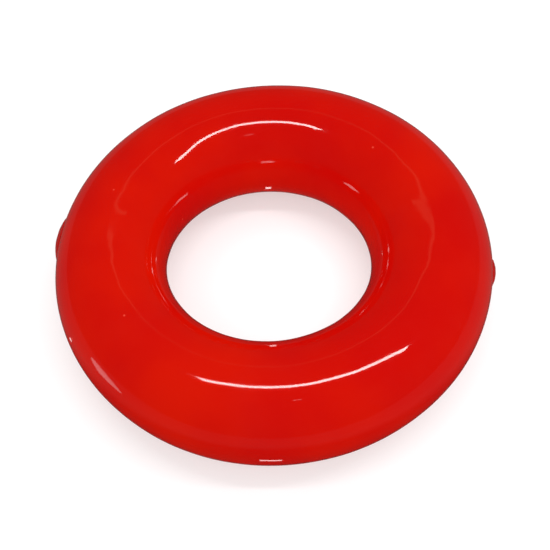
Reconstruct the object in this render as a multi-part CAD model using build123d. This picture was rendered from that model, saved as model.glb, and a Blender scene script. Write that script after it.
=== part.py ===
"""Chunky hand-size toss and juggling ring: a hollow, seamless soft-vinyl ring filled with air.

Frame: millimetres, +Z up along the ring's own axis, origin at the ring's centre.
The ring lies flat. Its air valve sits on the outer rim at -X, and the plug that closes
the moulding vent sits opposite, at +X.
"""

import os
from math import sqrt

from build123d import *

# --- ring body ---------------------------------------------------------------
TUBE_CENTRE_RADIUS = 62.0  # from the ring's axis to the middle of the tube
TUBE_RADIUS = 22.0  # outside of the round tube
WALL = 2.5  # vinyl wall thickness

OUTER_RADIUS = TUBE_CENTRE_RADIUS + TUBE_RADIUS  # the outermost line of the ring
WALL_INSIDE_RADIUS = OUTER_RADIUS - WALL  # where the wall ends along the X axis

# --- air valve at -X -----------------------------------------------------------
FLANGE_RADIUS = 10.6  # low domed cover welded on the outside of the tube
FLANGE_CROWN = 2.2  # how far the middle of the dome stands proud of the tube
NECK_RADIUS = 6.0  # sleeve that goes through the wall
NECK_LENGTH = 14.0  # from the ring's outermost line, inwards
NECK_TIP_ROUND = 1.0
BORE_RADIUS = 3.2  # air passage that the stopper's shank closes
SEAT_RADIUS = 5.0  # recess that takes the stopper's head
SEAT_DEPTH = 1.9  # below the dome's crown
NAIL_NOTCH_RADIUS = 1.7  # scoop beside the recess, for lifting the stopper
NAIL_NOTCH_SINK = 0.7  # the scoop's centre below the dome's crown

# --- stopper in the valve --------------------------------------------------------
SHANK_CLEARANCE = 0.05
HEAD_CLEARANCE = 0.25
SHANK_LENGTH = 9.0
SHANK_TIP_CHAMFER = 1.2

# --- vent plug at +X -------------------------------------------------------------
PLUG_HEAD_RADIUS = 5.7  # a smaller dome of the same kind
PLUG_HEAD_CROWN = 1.5
PLUG_STEM_RADIUS = 3.4
PLUG_BARB_RADIUS = 4.6  # cone behind the wall that keeps the plug in
PLUG_BARB_TIP_RADIUS = 2.2
PLUG_BARB_LENGTH = 4.0
PLUG_BARB_GAP = 0.8  # the wall is curved inside, so the barb starts a little behind it

DOME_EDGE = 0.3  # height of both domes at their rim
DOME_SEMI_AXIS = 4.1  # depth of the ellipsoid behind a dome, as a multiple of its crown height

CUT_THROUGH = 10.0  # extra length of a cutting tool past the surface


def tube(radius):
    """The whole ring as a solid tube of the given section radius, its seam at Y."""
    return Rot(0, 0, 90) * Torus(TUBE_CENTRE_RADIUS, radius)


def rod(radius, x_start, x_end):
    """A round bar along X between two stations."""
    middle = Plane(origin=((x_start + x_end) / 2, 0, 0), z_dir=(1, 0, 0))
    return middle * Cylinder(radius, abs(x_end - x_start))


def cone(radius_start, radius_end, x_start, x_end):
    """A tapered bar along X; the first radius is at the first station."""
    toward = 1 if x_end > x_start else -1
    middle = Plane(origin=((x_start + x_end) / 2, 0, 0), z_dir=(toward, 0, 0))
    return middle * Cone(radius_start, radius_end, abs(x_end - x_start))


def arc_drop(arc_radius, reach):
    """How far a circle falls away from its tangent at a distance along the tangent."""
    return arc_radius - sqrt(arc_radius**2 - reach**2)


def dome_blank(radius, crown, side):
    """An ellipsoid whose top is a low dome that keeps an even rim on the doubly curved tube."""
    depth = DOME_SEMI_AXIS * crown
    rise = crown - DOME_EDGE
    widths = []
    for arc_radius in (OUTER_RADIUS, TUBE_RADIUS):
        fall = (rise + arc_drop(arc_radius, radius)) / depth
        widths.append(radius / sqrt(1 - (1 - fall) ** 2))
    ellipsoid = scale(Sphere(1), by=(depth, widths[0], widths[1]))
    return Pos(side * (OUTER_RADIUS + crown - depth), 0, 0) * ellipsoid


def surface_dome(radius, crown, side):
    """A round, low dome standing on the outside of the tube at +X or -X."""
    blank = rod(radius, side * TUBE_CENTRE_RADIUS, side * (OUTER_RADIUS + CUT_THROUGH))
    return (blank & dome_blank(radius, crown, side)) - tube(TUBE_RADIUS)


def make_ring_shell():
    """The one-piece hollow moulding, with the two round holes through its wall."""
    shell = tube(TUBE_RADIUS) - tube(TUBE_RADIUS - WALL)
    shell -= rod(NECK_RADIUS, -OUTER_RADIUS - CUT_THROUGH, -TUBE_CENTRE_RADIUS)
    shell -= rod(PLUG_STEM_RADIUS, TUBE_CENTRE_RADIUS, OUTER_RADIUS + CUT_THROUGH)
    return shell


def make_valve_seat():
    """Domed flange outside, sleeve through the wall, recess and bore for the stopper."""
    crown = -OUTER_RADIUS - FLANGE_CROWN
    seat_floor = crown + SEAT_DEPTH
    neck_end = -OUTER_RADIUS + NECK_LENGTH
    neck = rod(NECK_RADIUS, -OUTER_RADIUS, neck_end)
    inner_rim = neck.edges().group_by(Axis.X)[-1]
    neck = fillet(inner_rim, NECK_TIP_ROUND)
    seat = surface_dome(FLANGE_RADIUS, FLANGE_CROWN, -1) + neck
    seat -= rod(SEAT_RADIUS, crown - CUT_THROUGH, seat_floor)
    seat -= rod(BORE_RADIUS, crown - CUT_THROUGH, neck_end + CUT_THROUGH)
    seat -= Pos(crown + NAIL_NOTCH_SINK, 0, SEAT_RADIUS) * Sphere(NAIL_NOTCH_RADIUS)
    return seat


def make_valve_stopper():
    """Push-in stopper: a round head that finishes the dome, on a shank with a lead-in tip."""
    crown = -OUTER_RADIUS - FLANGE_CROWN
    seat_floor = crown + SEAT_DEPTH
    head = rod(SEAT_RADIUS - HEAD_CLEARANCE, crown - CUT_THROUGH, seat_floor)
    head &= dome_blank(FLANGE_RADIUS, FLANGE_CROWN, -1)
    shank = rod(BORE_RADIUS - SHANK_CLEARANCE, seat_floor, seat_floor + SHANK_LENGTH)
    tip_rim = shank.edges().group_by(Axis.X)[-1]
    shank = chamfer(tip_rim, SHANK_TIP_CHAMFER)
    return head + shank


def make_vent_plug():
    """Rivet-shaped plug: a low domed head outside, a stem in the wall and a barb inside."""
    barb_start = WALL_INSIDE_RADIUS - PLUG_BARB_GAP
    head = surface_dome(PLUG_HEAD_RADIUS, PLUG_HEAD_CROWN, 1)
    stem = rod(PLUG_STEM_RADIUS, barb_start, OUTER_RADIUS)
    barb = cone(PLUG_BARB_RADIUS, PLUG_BARB_TIP_RADIUS, barb_start, barb_start - PLUG_BARB_LENGTH)
    return head + stem + barb


def main():
    os.makedirs("parts", exist_ok=True)
    parts = {
        "ring_shell": make_ring_shell(),
        "valve_seat": make_valve_seat(),
        "valve_stopper": make_valve_stopper(),
        "vent_plug": make_vent_plug(),
    }
    for name, shape in parts.items():
        export_step(shape, f"parts/{name}.step")


main()
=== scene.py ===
"""A chunky red vinyl ring for tossing, catching and juggling.

The ring is one seamless hollow moulding. A round air valve with a push-in stopper is pressed
into its rim at -X, and a smaller plug closes the moulding vent opposite, at +X. Everything is
in metres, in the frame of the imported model: +Z along the ring's axis, origin at its centre.
"""

import bpy
import math
import random
from mathutils import Matrix, Vector


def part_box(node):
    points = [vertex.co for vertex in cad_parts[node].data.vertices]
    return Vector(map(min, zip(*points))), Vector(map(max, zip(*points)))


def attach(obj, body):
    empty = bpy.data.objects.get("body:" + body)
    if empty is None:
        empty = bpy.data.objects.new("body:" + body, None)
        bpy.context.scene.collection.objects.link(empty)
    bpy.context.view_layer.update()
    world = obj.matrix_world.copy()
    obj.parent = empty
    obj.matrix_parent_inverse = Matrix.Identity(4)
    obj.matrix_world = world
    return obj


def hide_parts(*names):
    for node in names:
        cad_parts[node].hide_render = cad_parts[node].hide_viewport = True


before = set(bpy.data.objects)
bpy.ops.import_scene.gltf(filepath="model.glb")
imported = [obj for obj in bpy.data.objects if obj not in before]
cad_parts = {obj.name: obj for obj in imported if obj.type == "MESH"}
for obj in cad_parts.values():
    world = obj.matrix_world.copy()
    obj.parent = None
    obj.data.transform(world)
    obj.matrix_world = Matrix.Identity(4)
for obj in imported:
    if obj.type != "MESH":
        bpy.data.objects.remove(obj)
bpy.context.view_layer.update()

MM = 0.001

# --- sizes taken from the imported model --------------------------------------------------
RING_LOW, RING_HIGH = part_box("ring_shell")
VALVE_LOW, VALVE_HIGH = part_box("valve_seat")
STOPPER_LOW, STOPPER_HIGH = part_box("valve_stopper")
PLUG_LOW, PLUG_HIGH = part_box("vent_plug")

TUBE_RADIUS = (RING_HIGH.z - RING_LOW.z) / 2
OUTER_RADIUS = (RING_HIGH.y - RING_LOW.y) / 2
TUBE_CENTRE_RADIUS = OUTER_RADIUS - TUBE_RADIUS
FLANGE_RADIUS = (VALVE_HIGH.z - VALVE_LOW.z) / 2
NECK_END = -VALVE_HIGH.x
HEAD_RADIUS = (STOPPER_HIGH.z - STOPPER_LOW.z) / 2
STOPPER_FACE = -STOPPER_LOW.x
VALVE_CROWN = STOPPER_FACE - OUTER_RADIUS
STOPPER_TIP = -STOPPER_HIGH.x
PLUG_HEAD_RADIUS = (PLUG_HIGH.z - PLUG_LOW.z) / 2
PLUG_CROWN = PLUG_HIGH.x - OUTER_RADIUS
PLUG_TIP = PLUG_LOW.x

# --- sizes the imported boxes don't show ----------------------------------------------------
WALL = 2.5 * MM
NECK_RADIUS = 6.0 * MM
BORE_RADIUS = 3.2 * MM
SHANK_RADIUS = 3.15 * MM
SEAT_RADIUS = 5.0 * MM
SEAT_DEPTH = 1.9 * MM  # below the crown of the valve's dome
NAIL_NOTCH_RADIUS = 1.9 * MM
NAIL_NOTCH_DEPTH = 0.8 * MM
FLANGE_GROOVE_INSET = 2.6 * MM  # from the flange's rim to the groove's inner edge
FLANGE_GROOVE_WIDTH = 0.9 * MM
FLANGE_GROOVE_DEPTH = 0.22 * MM
GROOVE_SLOPE = 0.2 * MM  # width of each sloping side of a groove in a dome
SEAL_GROOVE_STARTS = (2.4 * MM, 4.8 * MM)  # below the stopper's head
SEAL_GROOVE_WIDTH = 1.1 * MM
SEAL_GROOVE_DEPTH = 0.3 * MM
SHANK_LEAD_IN = 1.2 * MM  # chamfer on the shank's tip
STEM_RADIUS = 3.4 * MM
BARB_RADIUS = 4.6 * MM
BARB_TIP_RADIUS = 2.2 * MM
BARB_GAP = 0.8 * MM
PLUG_GROOVE_RADIUS = 3.3 * MM
PLUG_GROOVE_WIDTH = 0.8 * MM
PLUG_GROOVE_DEPTH = 0.12 * MM
DOME_EDGE = 0.3 * MM  # height of both domes at their rim
SKIN_BITE = 0.15 * MM  # how far the valve and the plug sink into the wavy skin

# --- fineness of the meshes ---------------------------------------------------------------
STEPS_AROUND_RING = 384
STEPS_AROUND_TUBE = 120
STEPS_AROUND_VALVE = 96
TURN = 2 * math.pi
CORNER_ANGLE = math.radians(35)  # an edge that turns more than this is rounded
CREASE_ANGLE = math.radians(50)  # and on the ring, one that turns more than this stays crisp
VALVE_EDGE = 0.10 * MM  # rounding of the flange's edges
SMALL_EDGE = 0.08 * MM  # and of the stopper's and the plug's
EDGE_STEPS = 3
WAVE_SEED = 11  # settles where the moulding waves start


# ==========================================================================================
# Shapes
# ==========================================================================================


def finish_mesh(name, points, faces):
    """A smooth-shaded object from points and faces."""
    mesh = bpy.data.meshes.new(name)
    mesh.from_pydata(points, [], faces)
    mesh.validate()
    mesh.shade_smooth()
    piece = bpy.data.objects.new(name, mesh)
    bpy.context.scene.collection.objects.link(piece)
    return piece


def soften_edges(piece, width):
    """Rounds every edge that turns sharply, as a moulded edge is rounded."""
    bevel = piece.modifiers.new("rounded edges", "BEVEL")
    bevel.width = width
    bevel.segments = EDGE_STEPS
    bevel.limit_method = "ANGLE"
    bevel.angle_limit = CORNER_ANGLE
    bevel.harden_normals = True


def moulding_waves():
    """Long shallow waves that a soft moulding keeps when it cools.

    Each is its height, its turns around the ring, its turns around the tube and its phase.
    """
    draw = random.Random(WAVE_SEED)
    waves = []
    for height, around_ring, around_tube in (
        (0.050 * MM, 3, 1),
        (0.040 * MM, 5, -1),
        (0.026 * MM, 9, 2),
        (0.016 * MM, 14, -2),
        (0.008 * MM, 23, 3),
        (0.005 * MM, 31, -4),
    ):
        waves.append((height, around_ring, around_tube, draw.uniform(0, TURN)))
    return waves


def waviness(around, section, waves):
    """Height of the waves at a place given by its two angles."""
    return sum(
        height * math.sin(turns_ring * around + turns_tube * section + phase)
        for height, turns_ring, turns_tube, phase in waves
    )


def tube_point(around, section, radius):
    """A point at an angle around the ring, an angle around the tube and a radius of the tube."""
    reach = TUBE_CENTRE_RADIUS + radius * math.cos(section)
    return Vector((reach * math.cos(around), reach * math.sin(around), radius * math.sin(section)))


def snap_to_hole(point, radius):
    """Moves a point straight onto the round edge of a hole along X."""
    grow = radius / math.hypot(point.y, point.z)
    return Vector((point.x, point.y * grow, point.z * grow))


def skin_grid(waves):
    """Points of the outer and the inner skin, and at each the radius of the hole it lies in, or 0."""
    outer, inner, hole_of = [], [], []
    for i in range(STEPS_AROUND_RING):
        around = TURN * i / STEPS_AROUND_RING
        for j in range(STEPS_AROUND_TUBE):
            section = TURN * j / STEPS_AROUND_TUBE
            lift = waviness(around, section, waves)
            point = tube_point(around, section, TUBE_RADIUS + lift)
            outer.append(point)
            inner.append(tube_point(around, section, TUBE_RADIUS - WALL))
            radius = NECK_RADIUS if point.x < 0 else STEM_RADIUS
            in_hole = abs(point.x) > TUBE_CENTRE_RADIUS and math.hypot(point.y, point.z) < radius
            hole_of.append(radius if in_hole else 0.0)
    return outer, inner, hole_of


def cut_holes(hole_of):
    """The quads of the grid that stay, and the radius of the hole at each corner on its rim."""

    def corner(i, j):
        return (i % STEPS_AROUND_RING) * STEPS_AROUND_TUBE + j % STEPS_AROUND_TUBE

    kept, rim_radius = [], {}
    for i in range(STEPS_AROUND_RING):
        for j in range(STEPS_AROUND_TUBE):
            quad = (corner(i, j), corner(i + 1, j), corner(i + 1, j + 1), corner(i, j + 1))
            cut = max(hole_of[k] for k in quad)
            if cut:
                rim_radius.update({k: cut for k in quad if not hole_of[k]})
            else:
                kept.append(quad)
    return kept, rim_radius


def make_ring_body():
    """The hollow ring: an outer and an inner skin, joined round the two holes in the wall."""
    outer, inner, hole_of = skin_grid(moulding_waves())
    kept, rim_radius = cut_holes(hole_of)
    for k, radius in rim_radius.items():
        outer[k] = snap_to_hole(outer[k], radius)
        inner[k] = snap_to_hole(inner[k], radius)

    below = len(outer)
    sides = {(a, b) for quad in kept for a, b in zip(quad, quad[1:] + quad[:1])}
    rim_sides = [(a, b) for a, b in sides if (b, a) not in sides]
    faces = list(kept)
    faces += [tuple(k + below for k in reversed(quad)) for quad in kept]
    faces += [(b, a, a + below, b + below) for a, b in sorted(rim_sides)]
    used = sorted({k for face in faces for k in face})
    place = {k: n for n, k in enumerate(used)}
    points = outer + inner
    body = finish_mesh(
        "ring_body", [points[k] for k in used], [tuple(place[k] for k in face) for face in faces]
    )
    body.data.set_sharp_from_angle(angle=CREASE_ANGLE)
    return body


def on_tube(height):
    """A level that hugs the outside of the tube at a height above it."""

    def level(y, z):
        reach = TUBE_CENTRE_RADIUS + math.sqrt((TUBE_RADIUS + height) ** 2 - z * z)
        return math.sqrt(reach * reach - y * y)

    return level


def on_dome(rim_radius, crown, sink=0.0):
    """A level that follows a low dome, with its rim at one height all round on the curved tube."""

    def level(y, z):
        share = math.hypot(y, z) / rim_radius
        height = DOME_EDGE + (crown - DOME_EDGE) * (1 - share * share) - sink
        return on_tube(height)(y, z)

    return level


def valve_dome(sink=0.0):
    """The dome that the flange and the stopper's head share."""
    return on_dome(FLANGE_RADIUS, VALVE_CROWN, sink)


def plug_dome(sink=0.0):
    """The plug's smaller dome."""
    return on_dome(PLUG_HEAD_RADIUS, PLUG_CROWN, sink)


def shallow_groove(dome, inner, width, depth):
    """Four rows that press a round groove into a dome."""
    outer = inner + width
    return [
        (inner, dome()),
        (inner + GROOVE_SLOPE, dome(depth)),
        (outer - GROOVE_SLOPE, dome(depth)),
        (outer, dome()),
    ]


def rolled_rim(dome, radius):
    """The rows where a dome rolls over at its rim and drops into the tube's skin."""
    return [
        (radius - 0.4 * MM, dome()),
        (radius - 0.1 * MM, dome(0.06 * MM)),
        (radius, dome(0.18 * MM)),
        (radius, on_tube(-SKIN_BITE)),
    ]


def flat_at(distance):
    """A flat level at a distance from the ring's axis."""
    return lambda y, z: distance


def notched(level):
    """The same level with the fingernail notch scooped out beside the stopper."""

    def lowered(y, z):
        away = math.hypot(y, z - SEAT_RADIUS) / NAIL_NOTCH_RADIUS
        scoop = NAIL_NOTCH_DEPTH * (1 - away * away) if away < 1 else 0.0
        return level(y, z) - scoop

    return lowered


def turned_piece(name, profile, side, closed):
    """A piece turned about the X axis, from a profile of (radius, level) rows.

    The rows run outwards over the outside face, then back along the neck, shank or stem. A closed
    profile is a loop that starts with the bore. An open one starts and ends on the axis.
    """
    points, faces = [], []
    rings = [row for row in profile if row[0] > 0]
    for radius, level in rings:
        for k in range(STEPS_AROUND_VALVE):
            angle = TURN * k / STEPS_AROUND_VALVE
            y = radius * math.cos(angle)
            z = radius * math.sin(angle)
            points.append(Vector((side * level(y, z), y, z)))

    def corner(row, k):
        return (row % len(rings)) * STEPS_AROUND_VALVE + k % STEPS_AROUND_VALVE

    for row in range(len(rings) if closed else len(rings) - 1):
        for k in range(STEPS_AROUND_VALVE):
            quad = (corner(row, k), corner(row + 1, k), corner(row + 1, k + 1), corner(row, k + 1))
            faces.append(quad if side > 0 else tuple(reversed(quad)))
    if not closed:
        for row, (radius, level) in ((0, profile[0]), (len(rings) - 1, profile[-1])):
            pole = len(points)
            points.append(Vector((side * level(0, 0), 0, 0)))
            for k in range(STEPS_AROUND_VALVE):
                fan = (pole, corner(row, k), corner(row, k + 1))
                outward = (row == 0) == (side > 0)
                faces.append(fan if outward else tuple(reversed(fan)))
    return finish_mesh(name, points, faces)


def make_valve_flange():
    """Domed flange with a groove, a recess for the stopper's head, and the neck with its bore."""
    floor = STOPPER_FACE - SEAT_DEPTH
    groove = FLANGE_RADIUS - FLANGE_GROOVE_INSET
    profile = [
        (BORE_RADIUS, flat_at(NECK_END)),
        (BORE_RADIUS, flat_at(floor)),
        (SEAT_RADIUS, flat_at(floor)),
        (SEAT_RADIUS, notched(valve_dome(0.12 * MM))),
        *[(SEAT_RADIUS + step * MM, notched(valve_dome())) for step in (0.2, 0.6, 1.0, 1.5)],
        (SEAT_RADIUS + 2.0 * MM, valve_dome()),
        *shallow_groove(valve_dome, groove, FLANGE_GROOVE_WIDTH, FLANGE_GROOVE_DEPTH),
        (FLANGE_RADIUS - 1.0 * MM, valve_dome()),
        *rolled_rim(valve_dome, FLANGE_RADIUS),
        (NECK_RADIUS, on_tube(-SKIN_BITE)),
        (NECK_RADIUS, flat_at(NECK_END)),
    ]
    flange = turned_piece("valve_flange", profile, -1, closed=True)
    soften_edges(flange, VALVE_EDGE)
    return flange


def make_stopper():
    """Stopper: a dished head that finishes the dome, and a shank with two sealing grooves."""
    under = STOPPER_FACE - SEAT_DEPTH
    # a small pip stands in the middle of the dished head
    profile = [
        (0, valve_dome()),
        (0.5 * MM, valve_dome(0.02 * MM)),
        (0.7 * MM, valve_dome(0.26 * MM)),
        (2.2 * MM, valve_dome(0.24 * MM)),
        (2.9 * MM, valve_dome(0.02 * MM)),
        (3.3 * MM, valve_dome()),
        (HEAD_RADIUS - 0.4 * MM, valve_dome()),
        (HEAD_RADIUS - 0.1 * MM, valve_dome(0.14 * MM)),
        (HEAD_RADIUS, valve_dome(0.36 * MM)),
        (HEAD_RADIUS, flat_at(under)),
        (SHANK_RADIUS, flat_at(under)),
    ]
    groove_floor = SHANK_RADIUS - SEAL_GROOVE_DEPTH
    for start in SEAL_GROOVE_STARTS:
        near = under - start
        far = near - SEAL_GROOVE_WIDTH
        profile += [
            (SHANK_RADIUS, flat_at(near)),
            (groove_floor, flat_at(near - SEAL_GROOVE_DEPTH)),
            (groove_floor, flat_at(far + SEAL_GROOVE_DEPTH)),
            (SHANK_RADIUS, flat_at(far)),
        ]
    profile += [
        (SHANK_RADIUS, flat_at(STOPPER_TIP + SHANK_LEAD_IN)),
        (SHANK_RADIUS - SHANK_LEAD_IN, flat_at(STOPPER_TIP)),
        (0, flat_at(STOPPER_TIP)),
    ]
    stopper = turned_piece("stopper_plug", profile, -1, closed=False)
    soften_edges(stopper, SMALL_EDGE)
    return stopper


def make_vent_cap():
    """The plug over the moulding vent: low domed head with a dimple, stem and barb."""
    barb = OUTER_RADIUS - WALL - BARB_GAP
    # the first four rows are the dimple in the middle of the head
    profile = [
        (0, plug_dome(0.24 * MM)),
        (0.5 * MM, plug_dome(0.22 * MM)),
        (0.9 * MM, plug_dome(0.06 * MM)),
        (1.2 * MM, plug_dome()),
        *shallow_groove(plug_dome, PLUG_GROOVE_RADIUS, PLUG_GROOVE_WIDTH, PLUG_GROOVE_DEPTH),
        *rolled_rim(plug_dome, PLUG_HEAD_RADIUS),
        (STEM_RADIUS, on_tube(-SKIN_BITE)),
        (STEM_RADIUS, flat_at(barb)),
        (BARB_RADIUS, flat_at(barb)),
        (BARB_TIP_RADIUS, flat_at(PLUG_TIP)),
        (0, flat_at(PLUG_TIP)),
    ]
    cap = turned_piece("vent_cap", profile, 1, closed=False)
    soften_edges(cap, SMALL_EDGE)
    return cap


# ==========================================================================================
# Finishes
# ==========================================================================================

VINYL_IOR = 1.5
RED = (0.565, 0.0054, 0.0003)
DEEP_RED = (0.500, 0.0018, 0.0008)
VALVE_RED = (0.42, 0.0040, 0.0015)
VALVE_DEEP_RED = (0.38, 0.0025, 0.0015)
STOPPER_RED = (0.39, 0.0035, 0.0015)
STOPPER_DEEP_RED = (0.34, 0.0025, 0.0015)
DUST = (0.70, 0.05, 0.03)
PIGMENT_DRIFT_SCALE = 26.0
PIGMENT_DRIFT_SOFTNESS = 0.22
# how rough the clean and the smudged skin are, and how high its ripples and grain stand, in metres
BODY_SKIN = {"gloss": 0.05, "smudged": 0.085, "ripple_height": 0.000018, "grain_height": 0.0}
CLOSURE_SKIN = {"gloss": 0.12, "smudged": 0.20, "ripple_height": 0.00001, "grain_height": 0.000002}


def new_group(name, inputs, outputs):
    """An empty shader node group with named inputs, each with a default, and named outputs."""
    group = bpy.data.node_groups.new(name, "ShaderNodeTree")
    for label, kind, default in inputs:
        socket = group.interface.new_socket(name=label, in_out="INPUT", socket_type=kind)
        socket.default_value = default
    for label, kind in outputs:
        group.interface.new_socket(name=label, in_out="OUTPUT", socket_type=kind)
    start = group.nodes.new("NodeGroupInput")
    end = group.nodes.new("NodeGroupOutput")
    start.location = (-800, 0)
    end.location = (800, 0)
    return group, start, end


def add_node(tree, kind, **settings):
    """A node with its settings; a setting that isn't the node's own names one of its inputs."""
    node = tree.nodes.new(kind)
    for name, value in settings.items():
        if hasattr(node, name):
            setattr(node, name, value)
        else:
            node.inputs[name.replace("_", " ").title()].default_value = value
    return node


def make_cloudiness_group():
    """Slow drifts of pigment through the vinyl, as a mask from 0 to 1."""
    group, start, end = new_group(
        "pigment cloudiness",
        [("Scale", "NodeSocketFloat", 30.0), ("Softness", "NodeSocketFloat", 0.25)],
        [("Mask", "NodeSocketFloat")],
    )
    place = add_node(group, "ShaderNodeTexCoord")
    noise = add_node(group, "ShaderNodeTexNoise", detail=3.0, roughness=0.45)
    low = add_node(group, "ShaderNodeMath", operation="SUBTRACT")
    low.inputs[0].default_value = 0.5
    high = add_node(group, "ShaderNodeMath", operation="ADD")
    high.inputs[0].default_value = 0.5
    spread = add_node(group, "ShaderNodeMapRange", interpolation_type="SMOOTHSTEP")
    link = group.links.new
    link(place.outputs["Object"], noise.inputs["Vector"])
    link(start.outputs["Scale"], noise.inputs["Scale"])
    link(start.outputs["Softness"], low.inputs[1])
    link(start.outputs["Softness"], high.inputs[1])
    link(noise.outputs["Fac"], spread.inputs["Value"])
    link(low.outputs[0], spread.inputs["From Min"])
    link(high.outputs[0], spread.inputs["From Max"])
    link(spread.outputs["Result"], end.inputs["Mask"])
    return group


def make_skin_group():
    """The fine skin that a mould leaves on soft vinyl, as a height in metres."""
    group, start, end = new_group(
        "moulded skin",
        [
            ("Ripple Size", "NodeSocketFloat", 140.0),
            ("Ripple Height", "NodeSocketFloat", 0.00002),
            ("Grain Size", "NodeSocketFloat", 1400.0),
            ("Grain Height", "NodeSocketFloat", 0.000001),
        ],
        [("Height", "NodeSocketFloat")],
    )
    place = add_node(group, "ShaderNodeTexCoord")
    ripple = add_node(group, "ShaderNodeTexNoise", detail=1.0, roughness=0.4)
    grain = add_node(group, "ShaderNodeTexNoise", detail=2.0, roughness=0.5)
    ripple_height = add_node(group, "ShaderNodeMath", operation="MULTIPLY")
    grain_height = add_node(group, "ShaderNodeMath", operation="MULTIPLY")
    total = add_node(group, "ShaderNodeMath", operation="ADD")
    link = group.links.new
    link(place.outputs["Object"], ripple.inputs["Vector"])
    link(place.outputs["Object"], grain.inputs["Vector"])
    link(start.outputs["Ripple Size"], ripple.inputs["Scale"])
    link(start.outputs["Grain Size"], grain.inputs["Scale"])
    link(ripple.outputs["Fac"], ripple_height.inputs[0])
    link(start.outputs["Ripple Height"], ripple_height.inputs[1])
    link(grain.outputs["Fac"], grain_height.inputs[0])
    link(start.outputs["Grain Height"], grain_height.inputs[1])
    link(ripple_height.outputs[0], total.inputs[0])
    link(grain_height.outputs[0], total.inputs[1])
    link(total.outputs[0], end.inputs["Height"])
    return group


def make_handling_group():
    """Smudges and dust from being handled: a soft smudge mask and a mask of tiny specks."""
    group, start, end = new_group(
        "handling marks",
        [
            ("Smudge Size", "NodeSocketFloat", 45.0),
            ("Speck Size", "NodeSocketFloat", 330.0),
            ("Speck Share", "NodeSocketFloat", 0.012),
        ],
        [("Smudge", "NodeSocketFloat"), ("Speck", "NodeSocketFloat")],
    )
    place = add_node(group, "ShaderNodeTexCoord")
    smudge = add_node(group, "ShaderNodeTexNoise", detail=5.0, roughness=0.6, distortion=0.6)
    smudge_mask = add_node(group, "ShaderNodeMapRange", from_min=0.48, from_max=0.72)
    cells = add_node(group, "ShaderNodeTexVoronoi", feature="F1", randomness=1.0)
    chance = add_node(group, "ShaderNodeSeparateColor")
    chosen = add_node(group, "ShaderNodeMath", operation="LESS_THAN")
    dot = add_node(group, "ShaderNodeMapRange", from_min=0.10, from_max=0.16)
    dot.inputs["To Min"].default_value = 1.0
    dot.inputs["To Max"].default_value = 0.0
    speck = add_node(group, "ShaderNodeMath", operation="MULTIPLY")
    link = group.links.new
    link(place.outputs["Object"], smudge.inputs["Vector"])
    link(place.outputs["Object"], cells.inputs["Vector"])
    link(start.outputs["Smudge Size"], smudge.inputs["Scale"])
    link(start.outputs["Speck Size"], cells.inputs["Scale"])
    link(smudge.outputs["Fac"], smudge_mask.inputs["Value"])
    link(cells.outputs["Color"], chance.inputs["Color"])
    link(chance.outputs["Red"], chosen.inputs[0])
    link(start.outputs["Speck Share"], chosen.inputs[1])
    link(cells.outputs["Distance"], dot.inputs["Value"])
    link(dot.outputs["Result"], speck.inputs[0])
    link(chosen.outputs[0], speck.inputs[1])
    link(smudge_mask.outputs["Result"], end.inputs["Smudge"])
    link(speck.outputs[0], end.inputs["Speck"])
    return group


CLOUDINESS = make_cloudiness_group()
SKIN = make_skin_group()
HANDLING = make_handling_group()


def place_group(tree, group, **values):
    """A node that uses a group, with its own values on the named inputs."""
    node = tree.nodes.new("ShaderNodeGroup")
    node.node_tree = group
    for name, value in values.items():
        node.inputs[name.replace("_", " ").title()].default_value = value
    return node


def mix_colours(tree, factor, first, second):
    """Blends a colour or a socket with a colour, by a mask."""
    mix = tree.nodes.new("ShaderNodeMix")
    mix.data_type = "RGBA"
    tree.links.new(factor, mix.inputs["Factor"])
    for socket, value in ((mix.inputs[6], first), (mix.inputs[7], second)):
        if isinstance(value, tuple):
            socket.default_value = (*value, 1)
        else:
            tree.links.new(value, socket)
    return mix.outputs[2]


def make_vinyl(name, colour, deep_colour, gloss, smudged, ripple_height, grain_height):
    """Glossy soft vinyl: drifting pigment, a faint moulded skin, smudges and a few dust specks."""
    material = bpy.data.materials.new(name)
    material.use_nodes = True
    tree = material.node_tree
    shader = tree.nodes["Principled BSDF"]
    shader.inputs["IOR"].default_value = VINYL_IOR

    clouds = place_group(
        tree, CLOUDINESS, scale=PIGMENT_DRIFT_SCALE, softness=PIGMENT_DRIFT_SOFTNESS
    )
    handling = place_group(tree, HANDLING)
    skin = place_group(tree, SKIN, ripple_height=ripple_height, grain_height=grain_height)

    pigment = mix_colours(tree, clouds.outputs["Mask"], colour, deep_colour)
    dusty = mix_colours(tree, handling.outputs["Speck"], pigment, DUST)
    tree.links.new(dusty, shader.inputs["Base Color"])

    roughness = add_node(tree, "ShaderNodeMapRange", to_min=gloss, to_max=smudged)
    tree.links.new(handling.outputs["Smudge"], roughness.inputs["Value"])
    tree.links.new(roughness.outputs["Result"], shader.inputs["Roughness"])

    bump = add_node(tree, "ShaderNodeBump")
    bump.inputs["Distance"].default_value = 1.0
    bump.inputs["Strength"].default_value = 1.0
    tree.links.new(skin.outputs["Height"], bump.inputs["Height"])
    tree.links.new(bump.outputs["Normal"], shader.inputs["Normal"])
    return material


def finish_body(body):
    vinyl = make_vinyl("ring vinyl", RED, DEEP_RED, **BODY_SKIN)
    body.data.materials.append(vinyl)


def finish_valve(flange):
    vinyl = make_vinyl("valve vinyl", VALVE_RED, VALVE_DEEP_RED, **CLOSURE_SKIN)
    flange.data.materials.append(vinyl)


def finish_stopper(stopper):
    vinyl = make_vinyl("stopper vinyl", STOPPER_RED, STOPPER_DEEP_RED, **CLOSURE_SKIN)
    stopper.data.materials.append(vinyl)


def finish_cap(cap):
    vinyl = make_vinyl("plug vinyl", VALVE_RED, VALVE_DEEP_RED, **CLOSURE_SKIN)
    cap.data.materials.append(vinyl)


# ==========================================================================================
# Stage, light and camera
# ==========================================================================================

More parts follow.
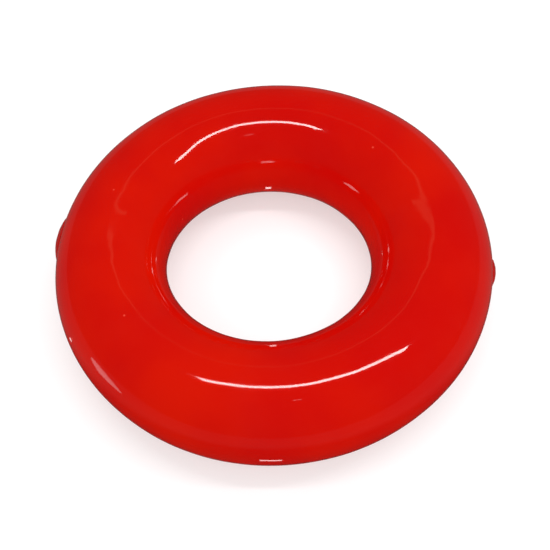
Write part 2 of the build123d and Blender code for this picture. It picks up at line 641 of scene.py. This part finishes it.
FLOOR_SIZE = 6.0
FLOOR_GAP = 0.15 * MM
FLOOR_TINTS = ((0.50, 0.50, 0.50), (0.52, 0.52, 0.52))
SURROUND = 0.97  # soft light from all round
SURROUND_IN_GLOSS = 0.055  # the dim room that the gloss mirrors
FRONT_FILL = 0.85  # radiance of the broad light
FRONT_FILL_SIDE = 0.6
HOLE_FILL = 0.0165  # watts
WARM_GLOSS = (1.0, 0.90, 0.68, 1.0)
PALE_GLOSS = (1.0, 0.95, 0.88, 1.0)
WARM_LIGHT = (1.0, 0.62, 0.32)
FLOOR_GLOW = 0.50  # share of the table's brightness that no shadow takes away
# the table looks darker in the gloss near the ring: a painted shadow of the ring, which only reflections
# show
PAINTED_SHADOW_IN_GLOSS = 0.03  # how bright the table looks in the gloss, in the hole and in front
FLOOR_IN_GLOSS = 0.12  # and at the sides and behind
# in tube-centre radii: the middle of that painted shadow, and where it starts and stops fading
PAINTED_SHADOW_CENTRE = (0, -0.8, 0)
NEAR_REACH = 1.4
FAR_REACH = 1.9

# the view is turned this far about the ring's axis from straight along +Y
VIEW_TURN = math.radians(6.85)
VIEW_ELEVATION = math.radians(55.137)
VIEW_DISTANCE = 4.7836 * TUBE_CENTRE_RADIUS
VIEW_AIM = (-0.4408, -0.6812, 0)  # in tube-centre radii, from the camera's side
VIEW_ROLL = math.radians(11.618)
LENS = 48.77
SENSOR = 36.0
SHIFT = 0.1455
NEAREST = 0.01  # the camera sees nothing nearer than this
FURTHEST = 20


def turned(x, y, z):
    """A place given in tube-centre radii as seen from the camera's side, in the ring's frame."""
    return Matrix.Rotation(VIEW_TURN, 3, "Z") @ (Vector((x, y, z)) * TUBE_CENTRE_RADIUS)


def dim_in_gloss(tree, normal_shader, colour, brightness):
    """Swaps a shader or a background for a plain dim one wherever a glossy surface mirrors it.

    Gives back the dim one, so that its strength can vary.
    """
    is_world = normal_shader.bl_idname == "ShaderNodeBackground"
    dim = tree.nodes.new("ShaderNodeBackground" if is_world else "ShaderNodeEmission")
    end_kind = "ShaderNodeOutputWorld" if is_world else "ShaderNodeOutputMaterial"
    end = next(node for node in tree.nodes if node.bl_idname == end_kind)
    dim.inputs["Color"].default_value = colour
    dim.inputs["Strength"].default_value = brightness
    path = tree.nodes.new("ShaderNodeLightPath")
    choice = tree.nodes.new("ShaderNodeMixShader")
    tree.links.new(path.outputs["Is Glossy Ray"], choice.inputs[0])
    tree.links.new(normal_shader.outputs[0], choice.inputs[1])
    tree.links.new(dim.outputs[0], choice.inputs[2])
    tree.links.new(choice.outputs[0], end.inputs["Surface"])
    return dim


def make_table_finish():
    """Pale and matt. The gloss mirrors it darker in the hole and in front, a painted shadow."""
    material = bpy.data.materials.new("pale table")
    material.use_nodes = True
    tree = material.node_tree
    shader = tree.nodes["Principled BSDF"]
    shader.inputs["Roughness"].default_value = 0.8
    shader.inputs["Specular IOR Level"].default_value = 0.0
    shader.inputs["Emission Color"].default_value = (1, 1, 1, 1)
    shader.inputs["Emission Strength"].default_value = FLOOR_GLOW
    noise = add_node(tree, "ShaderNodeTexNoise", scale=9.0, detail=2.0)
    tint = mix_colours(tree, noise.outputs["Fac"], *FLOOR_TINTS)
    tree.links.new(tint, shader.inputs["Base Color"])
    dim = dim_in_gloss(tree, shader, PALE_GLOSS, FLOOR_IN_GLOSS)
    # painted shadow: the gloss sees the table darker near the ring, fading out towards its sides and
    # behind
    place = add_node(tree, "ShaderNodeTexCoord")
    reach = add_node(tree, "ShaderNodeVectorMath", operation="DISTANCE")
    reach.inputs[1].default_value = turned(*PAINTED_SHADOW_CENTRE)
    outward = add_node(
        tree,
        "ShaderNodeMapRange",
        from_min=NEAR_REACH * TUBE_CENTRE_RADIUS,
        from_max=FAR_REACH * TUBE_CENTRE_RADIUS,
        to_min=PAINTED_SHADOW_IN_GLOSS,
        to_max=FLOOR_IN_GLOSS,
    )
    tree.links.new(place.outputs["Object"], reach.inputs[0])
    tree.links.new(reach.outputs["Value"], outward.inputs["Value"])
    tree.links.new(outward.outputs["Result"], dim.inputs["Strength"])
    return material


def make_floor():
    """A plain pale table that the ring lies on."""
    half = FLOOR_SIZE / 2
    height = RING_LOW.z - FLOOR_GAP
    corners = [
        (-half, -half, height),
        (half, -half, height),
        (half, half, height),
        (-half, half, height),
    ]
    floor = finish_mesh("floor", corners, [(0, 1, 2, 3)])
    floor.data.materials.append(make_table_finish())


def make_lamp(name, place, aim, size, radiance, shape="RECTANGLE", along=(1, 0, 0)):
    """A flat lamp that faces a point. Its long side runs as near to a direction as it can."""
    light = bpy.data.lights.new(name, "AREA")
    light.shape = shape
    light.size, light.size_y = size
    light.energy = radiance * math.pi * size[0] * size[1]
    lamp = bpy.data.objects.new(name, light)
    away = (place - aim).normalized()
    side = turned(*along)
    side = (side - away * side.dot(away)).normalized()
    turn = Matrix((side, away.cross(side), away)).transposed().to_4x4()
    lamp.matrix_world = Matrix.Translation(place) @ turn
    lamp.visible_camera = False
    bpy.context.scene.collection.objects.link(lamp)
    return lamp


def make_room_light():
    """Soft light from all round, which the gloss mirrors as a dim room."""
    world = bpy.data.worlds.new("soft surround")
    world.use_nodes = True
    sky = world.node_tree.nodes["Background"]
    sky.inputs["Color"].default_value = (1, 1, 1, 1)
    sky.inputs["Strength"].default_value = SURROUND
    dim_in_gloss(world.node_tree, sky, WARM_GLOSS, SURROUND_IN_GLOSS)
    bpy.context.scene.world = world


def make_front_fill():
    """A broad square light from the front right."""
    size = (FRONT_FILL_SIDE, FRONT_FILL_SIDE)
    return make_lamp("front fill", turned(11.0, -8.0, 6.0), turned(0, 0, 0), size, FRONT_FILL)


def make_hole_fill():
    """A faint soft bulb in the ring's hole, which lights the inner wall."""
    light = bpy.data.lights.new("hole fill", "POINT")
    light.energy = HOLE_FILL
    light.shadow_soft_size = 0.3 * TUBE_CENTRE_RADIUS
    bulb = bpy.data.objects.new("hole fill", light)
    bulb.location = turned(0.10, 0.06, 0)
    bulb.visible_camera = False
    bpy.context.scene.collection.objects.link(bulb)
    return bulb


def make_fill_lights():
    """The lights that the gloss doesn't show."""
    for lamp in (make_front_fill(), make_hole_fill()):
        lamp.data.specular_factor = 0.0
        lamp.visible_glossy = False


def make_ceiling_lamps():
    """A long thin lamp overhead, a small one in front of it and a warm rail beyond the ring."""
    over = turned(2.35, -0.2, 11.0)
    under_over = turned(2.35, -0.2, 10.0)
    long_size = (10.7 * TUBE_CENTRE_RADIUS, 0.045)
    small_place = turned(1.6, -5.0, 10.5)
    small_aim = turned(0.1, -1.1, 0.3)
    rail_size = (2.2 * TUBE_CENTRE_RADIUS, 0.006)
    lamps = [
        make_lamp("ceiling lamp", over, under_over, long_size, radiance=18),
        make_lamp("small ceiling lamp", small_place, small_aim, (0.04, 0.012), radiance=3),
        make_lamp("warm rail", turned(0, 2.7, 4.0), turned(0, 0, 0), rail_size, radiance=0.5),
    ]
    lamps[-1].data.color = WARM_LIGHT
    return lamps


def make_window():
    """A window low on the left, brighter in its middle, mirrored as a streak on the rim."""
    place = turned(-2.50, -1.37, -0.23)
    aim = turned(-0.93, -0.91, 0.19)
    slope = (0.47, -0.84, -0.27)
    return [
        make_lamp("window", place, aim, (0.050, 0.024), radiance=1.2, shape="ELLIPSE", along=slope),
        make_lamp("window middle", place, aim, (0.032, 0.011), radiance=5, shape="ELLIPSE", along=slope),
    ]


def make_glints():
    """Seven tiny lamps close to the ring, each given as place, aim, width and radiance."""
    height = 0.002
    glints = (
        ((0.00, -1.52, -0.30), (0.00, -1.30, 0.00), 0.010, 4),
        ((0.00, 0.37, 0.13), (0.01, 0.67, 0.14), 0.002, 3),
        ((0.01, 0.65, -0.24), (0.01, 0.66, -0.11), 0.002, 5),
        ((-0.27, 0.35, 0.09), (-0.56, 0.38, 0.14), 0.0015, 3),
        ((0.25, 0.36, 0.13), (0.55, 0.41, 0.16), 0.0015, 3),
        ((0.02, -0.49, 0.19), (0.02, -0.78, 0.28), 0.002, 3),
        ((-1.47, -0.55, -0.13), (-1.17, -0.63, 0.12), 0.002, 4),
    )
    return [
        make_lamp(f"glint {number}", turned(*place), turned(*aim), (width, height), radiance)
        for number, (place, aim, width, radiance) in enumerate(glints, 1)
    ]


def make_mirrored_lights():
    """The lamps that only the gloss shows."""
    for lamp in make_ceiling_lamps() + make_window() + make_glints():
        lamp.data.diffuse_factor = 0.0


def make_camera():
    """The camera, above and in front of the ring, rolled, with its lens shifted off its axis."""
    data = bpy.data.cameras.new("camera")
    data.lens = LENS
    data.sensor_width = SENSOR
    data.shift_x = SHIFT
    data.shift_y = SHIFT
    data.clip_start = NEAREST
    data.clip_end = FURTHEST
    camera = bpy.data.objects.new("camera", data)
    back = Vector((0, -math.cos(VIEW_ELEVATION), math.sin(VIEW_ELEVATION)))
    place = Matrix.Rotation(VIEW_TURN, 3, "Z") @ back * VIEW_DISTANCE
    look = (turned(*VIEW_AIM) - place).normalized()
    level = look.cross(Vector((0, 0, 1))).normalized()
    up = level.cross(look)
    upright = Matrix((level, up, -look)).transposed()
    rolled = Matrix.Rotation(VIEW_ROLL, 3, look) @ upright
    camera.matrix_world = Matrix.Translation(place) @ rolled.to_4x4()
    bpy.context.scene.collection.objects.link(camera)
    bpy.context.scene.camera = camera


def set_picture():
    """Plain display of the light, with nothing added."""
    bpy.context.scene.view_settings.view_transform = "Standard"
    bpy.context.scene.view_settings.look = "None"


# ==========================================================================================
# The whole part
# ==========================================================================================


def make_part():
    body = make_ring_body()
    finish_body(body)
    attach(body, "ring")
    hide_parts("ring_shell")

    flange = make_valve_flange()
    finish_valve(flange)
    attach(flange, "ring")
    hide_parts("valve_seat")

    stopper = make_stopper()
    finish_stopper(stopper)
    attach(stopper, "stopper")
    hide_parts("valve_stopper")

    cap = make_vent_cap()
    finish_cap(cap)
    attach(cap, "ring")
    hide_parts("vent_plug")


make_part()
make_floor()
make_room_light()
make_fill_lights()
make_mirrored_lights()
make_camera()
set_picture()
